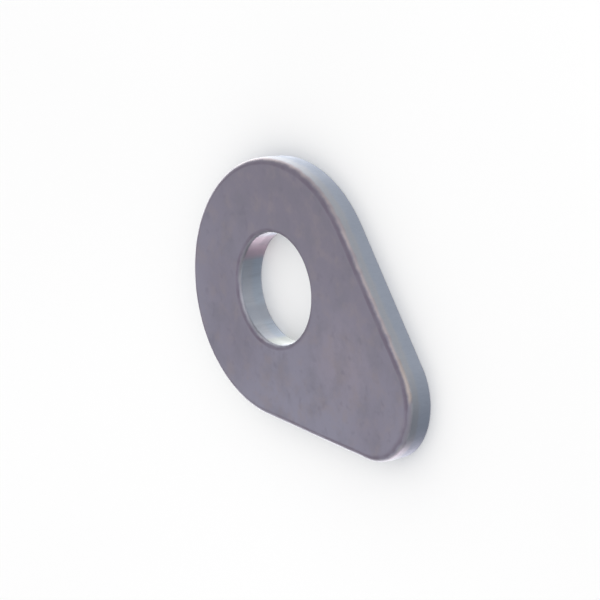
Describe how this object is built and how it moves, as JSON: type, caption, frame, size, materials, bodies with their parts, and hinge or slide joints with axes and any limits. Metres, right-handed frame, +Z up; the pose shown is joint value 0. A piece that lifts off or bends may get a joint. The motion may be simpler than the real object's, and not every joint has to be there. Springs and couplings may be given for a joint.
{
  "type": "teardrop weld washer",
  "caption": "Flat teardrop steel plate with a bolt bore in its round head, a narrower rounded tip and rolled-over upper edges, for welding over a worn hole.",
  "frame": {"origin": "on the bore's axis, at the level of the underside that is welded down", "axes": "+Z up along the bore's axis, from the underside to the rolled-over upper face; +X towards the narrow tip, along the plate's line of symmetry"},
  "size_m": [0.0621, 0.0444, 0.005],
  "materials": {
    "bare_steel": "satin, tumbled, bluish grey, with smoother sheared edges"
  },
  "bodies": {
    "root": {"weld_washer": "bare_steel"}
  },
  "joints": []
}
